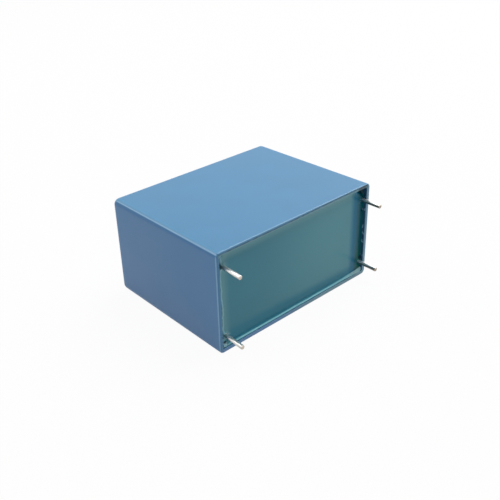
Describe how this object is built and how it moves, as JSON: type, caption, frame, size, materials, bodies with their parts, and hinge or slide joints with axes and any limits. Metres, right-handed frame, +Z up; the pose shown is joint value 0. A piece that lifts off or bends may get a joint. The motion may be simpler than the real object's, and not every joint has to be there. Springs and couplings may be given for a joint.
{
  "type": "box film capacitor",
  "caption": "Box film capacitor: a rectangular moulded case, potted on its open side, with tinned wire leads in two rows for soldering to a board",
  "frame": {"origin": "centre of the lead pattern, on the plane of the rim that meets the board", "axes": "X along the length of the case, -Y the way the leads point, Z up through the thickness of the case as it lies on a wide side"},
  "size_m": [0.0576, 0.05, 0.0296],
  "materials": {
    "case_plastic": "satin moulded polyester",
    "potting_resin": "glossy, slightly clear casting resin",
    "metallised_film": "silvery film roll",
    "sprayed_metal": "rough sprayed metal",
    "tinned_wire": "bright tinned copper wire",
    "solder": "satin solder"
  },
  "bodies": {
    "root": {"case": "case_plastic", "resin_fill": "potting_resin", "winding_upper": "metallised_film", "winding_lower": "metallised_film", "end_spray_left_upper": "sprayed_metal", "end_spray_left_lower": "sprayed_metal", "end_spray_right_upper": "sprayed_metal", "end_spray_right_lower": "sprayed_metal", "lead_left_upper": "tinned_wire", "lead_left_lower": "tinned_wire", "lead_right_upper": "tinned_wire", "lead_right_lower": "tinned_wire", "solder_left_upper": "solder", "solder_left_lower": "solder", "solder_right_upper": "solder", "solder_right_lower": "solder"}
  },
  "joints": []
}
